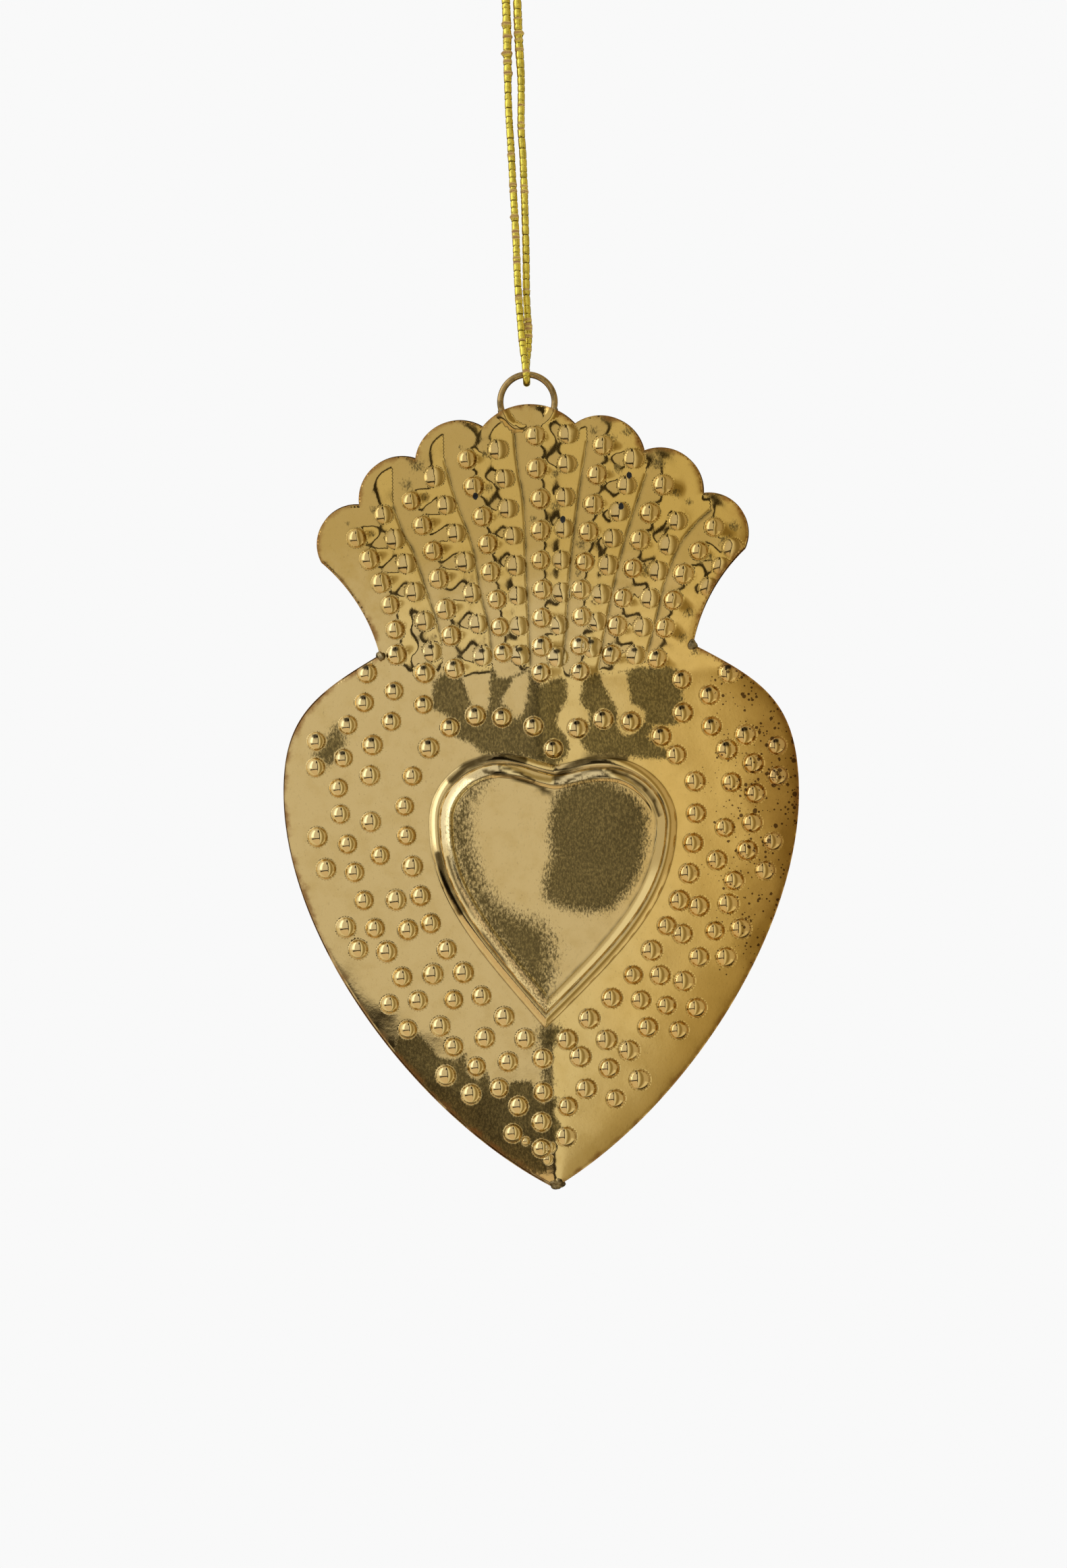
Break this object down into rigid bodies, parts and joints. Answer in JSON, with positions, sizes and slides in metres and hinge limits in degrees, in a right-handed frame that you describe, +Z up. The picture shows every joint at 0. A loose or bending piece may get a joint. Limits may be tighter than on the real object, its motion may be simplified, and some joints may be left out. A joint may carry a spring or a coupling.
{
  "type": "hanging heart ornament",
  "caption": "Hollow embossed brass heart with a scalloped fan crown, hung by a wire ring from a loop of gold tinsel cord.",
  "frame": {"origin": "between the two strands of cord, just under the knot, where a hook passes through", "axes": "+Z up along the cord, the ornament's front faces -Y, +X to the right as seen from the front"},
  "size_m": [0.0836, 0.011, 0.2089],
  "materials": {
    "brass": "pressed sheet, bright with dark tarnish",
    "wire_brass": "drawn wire, aged brown",
    "solder": "dull grey, lumpy",
    "tinsel": "thread wrapped in flat gold foil"
  },
  "bodies": {
    "knot": {"cord_knot": "tinsel", "cord_tail_left": "tinsel", "cord_tail_right": "tinsel"},
    "cord": {"hanging_cord": "tinsel"},
    "ornament": {"front_sheet": "brass", "back_sheet": "brass", "hanging_ring": "wire_brass", "solder_neck_left": "solder", "solder_neck_right": "solder", "solder_ring_left": "solder", "solder_ring_right": "solder", "solder_tip": "solder"}
  },
  "joints": [
    {"name": "cord_twist", "type": "hinge", "parent": "knot", "child": "cord", "pos_m": [0, 0, 0], "axis": [0, 0, 1], "range_deg": [-180, 180], "stiffness_Nm_per_rad": 0.00003},
    {"name": "ring_rock", "type": "hinge", "parent": "cord", "child": "ornament", "pos_m": [0, 0, -0.064], "axis": [1, 0, 0], "range_deg": [-90, 90]}
  ]
}
